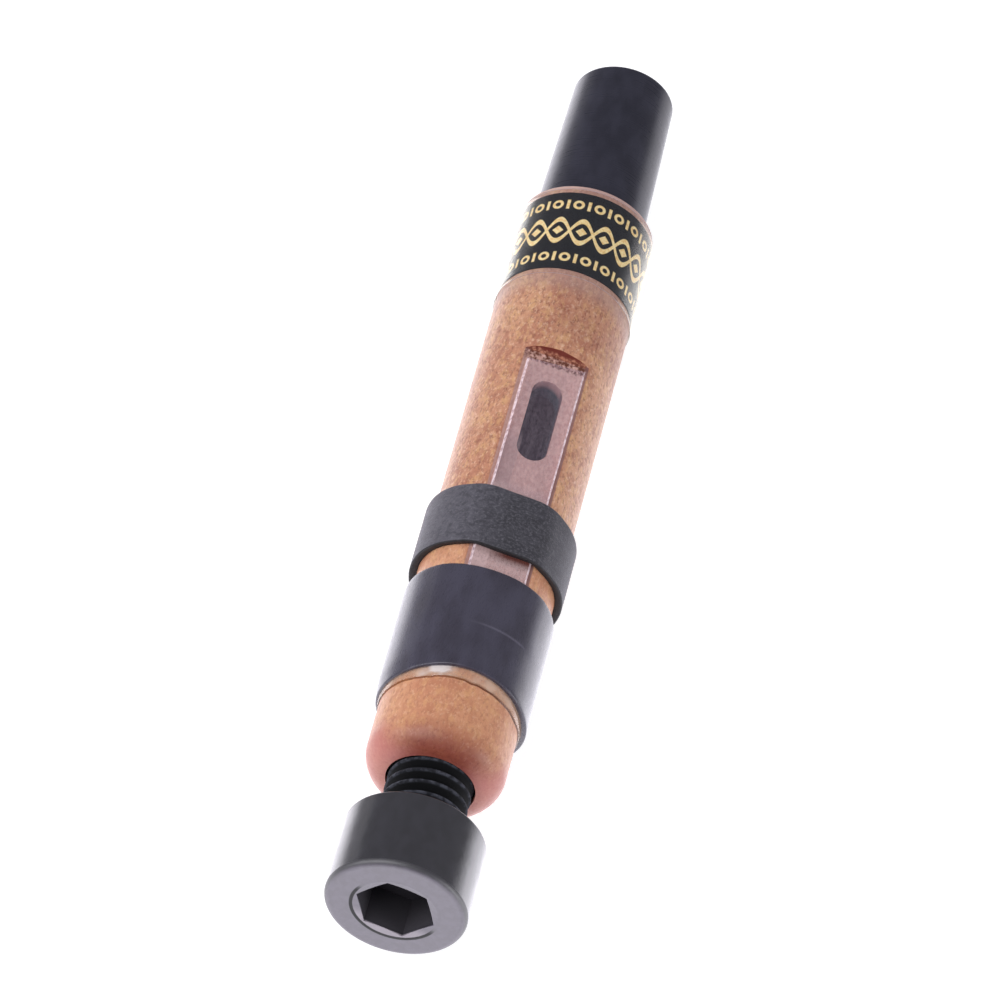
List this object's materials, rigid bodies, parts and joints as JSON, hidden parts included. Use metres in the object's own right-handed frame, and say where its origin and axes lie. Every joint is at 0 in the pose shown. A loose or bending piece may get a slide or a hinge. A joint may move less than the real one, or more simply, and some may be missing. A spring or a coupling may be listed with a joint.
{
  "type": "bagpipe drone reed",
  "caption": "Single-tongue drone reed: round tan body with a clear beating tongue over a wind slot, rubber tuning bridle, tapered black seat and a socket-head tuning screw.",
  "frame": {"origin": "on the reed's axis, at the shoulder where the tapered seat leaves the body", "axes": "+Y along the reed from the tuning screw to the seat's open end, +Z out of the flat bed that carries the tongue, +X to the right of the tongue seen from above with the seat pointing away"},
  "size_m": [0.011, 0.0767, 0.0109],
  "materials": {
    "body_composite": "satin, speckled tan",
    "black_plastic": "satin moulded",
    "clear_tongue": "clear, slightly frosted",
    "black_rubber": "matte",
    "black_nylon": "satin moulded",
    "label_print": "black print with a gold ornament",
    "clear_film": "clear gloss film",
    "clear_adhesive": "glossy amber",
    "shrink_sleeve": "smooth satin"
  },
  "bodies": {
    "root": {"reed_body": "body_composite", "seat_tube": "black_plastic", "tongue_heel": "clear_tongue", "sleeve_adhesive": "clear_adhesive", "holding_sleeve": "shrink_sleeve", "label_band": "label_print", "label_film": "clear_film"},
    "tongue": {"tongue_blade": "clear_tongue"},
    "bridle": {"bridle": "black_rubber"},
    "seal": {"thread_seal": "black_rubber"},
    "screw": {"tuning_screw": "black_nylon"}
  },
  "joints": [
    {"name": "tongue_beat", "type": "hinge", "parent": "root", "child": "tongue", "pos_m": [0, -0.02705, 0.00428], "axis": [1, 0, 0], "range_deg": [-2.3, 1.6], "stiffness_Nm_per_rad": 0.005},
    {"name": "bridle_slide", "type": "slide", "parent": "root", "child": "bridle", "axis": [0, 1, 0], "range_m": [-0.0016, 0.0024]},
    {"name": "screw_turn", "type": "hinge", "parent": "root", "child": "seal", "pos_m": [0, -0.0523, 0], "axis": [0, 1, 0], "range_deg": [-2165, 1625]},
    {"name": "screw_travel", "type": "slide", "parent": "seal", "child": "screw", "axis": [0, 1, 0], "range_m": [-0.006, 0.0045]}
  ],
  "couplings": [
    {"joint": "screw_turn", "follows": "screw_travel", "rad_per_m": 6283.2}
  ]
}
